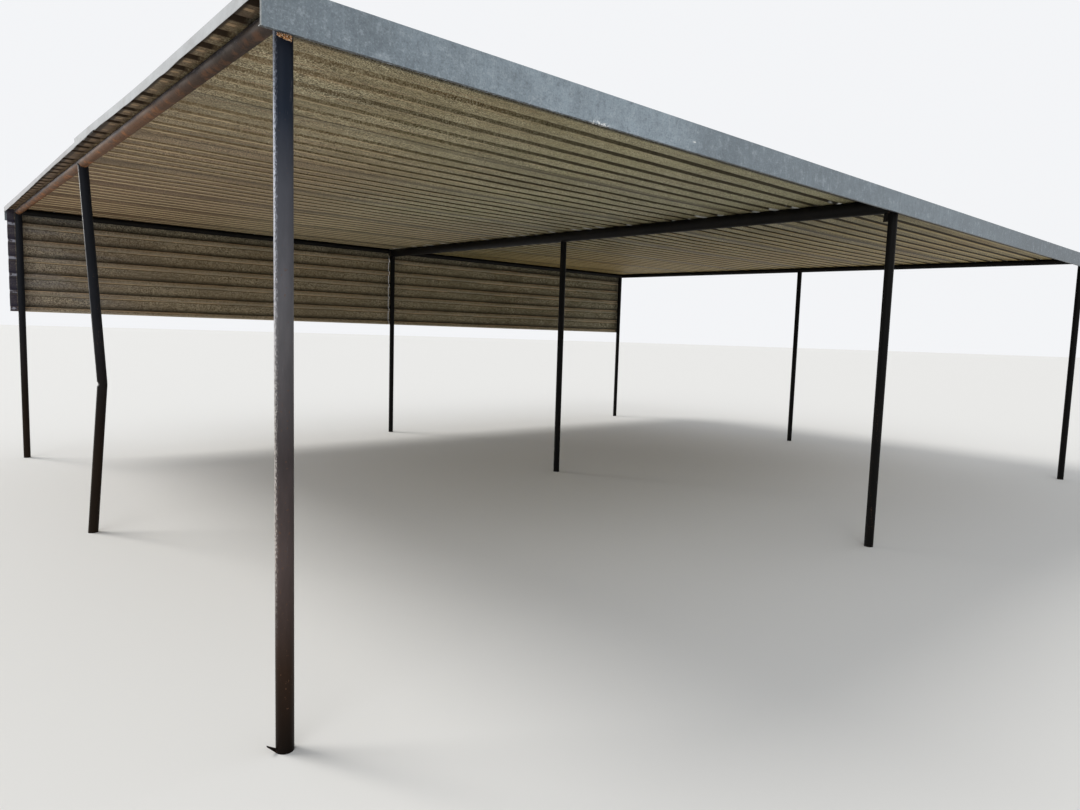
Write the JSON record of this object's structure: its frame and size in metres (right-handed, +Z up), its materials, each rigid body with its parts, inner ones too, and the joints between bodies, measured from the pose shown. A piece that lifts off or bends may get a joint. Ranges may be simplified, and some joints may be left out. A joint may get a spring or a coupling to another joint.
{
  "type": "carport",
  "caption": "Open-frame carport on steel pipe posts, with a nearly flat ribbed sheet roof, a deep front fascia and a half-height sheet screen along the back.",
  "frame": {"origin": "on the ground, under the middle of the roof's outline", "axes": "+X along the fascia from gable A to gable C, +Y from the fascia to the screen, +Z up"},
  "size_m": [8.11, 6.4145, 2.3056],
  "materials": {
    "post_paint": "satin",
    "weathered_beam": "matte",
    "beam_paint": "satin",
    "roof_sheet": "satin",
    "screen_sheet": "satin",
    "edge_trim": "satin"
  },
  "bodies": {
    "root": {"back_beam_left": "beam_paint", "back_beam_right": "beam_paint", "cross_beam_a": "weathered_beam", "cross_beam_b": "beam_paint", "cross_beam_c": "beam_paint", "foot_tab_a1": "post_paint", "front_fascia": "edge_trim", "gable_trim_a_back": "edge_trim", "gable_trim_a_front": "edge_trim", "gable_trim_c_back": "edge_trim", "gable_trim_c_front": "edge_trim", "gusset_b1": "beam_paint", "post_a1": "post_paint", "post_a2": "post_paint", "post_a3": "post_paint", "post_b1": "post_paint", "post_b2": "post_paint", "post_b3": "post_paint", "post_c1": "post_paint", "post_c2": "post_paint", "post_c3": "post_paint", "rear_fascia": "edge_trim", "roof_sheet_1": "roof_sheet", "roof_sheet_2": "roof_sheet", "roof_sheet_3": "roof_sheet", "roof_sheet_4": "roof_sheet", "roof_sheet_5": "roof_sheet", "roof_sheet_6": "roof_sheet", "roof_sheet_7": "roof_sheet", "screen_sheet_left": "screen_sheet", "screen_sheet_right": "screen_sheet"}
  },
  "joints": []
}
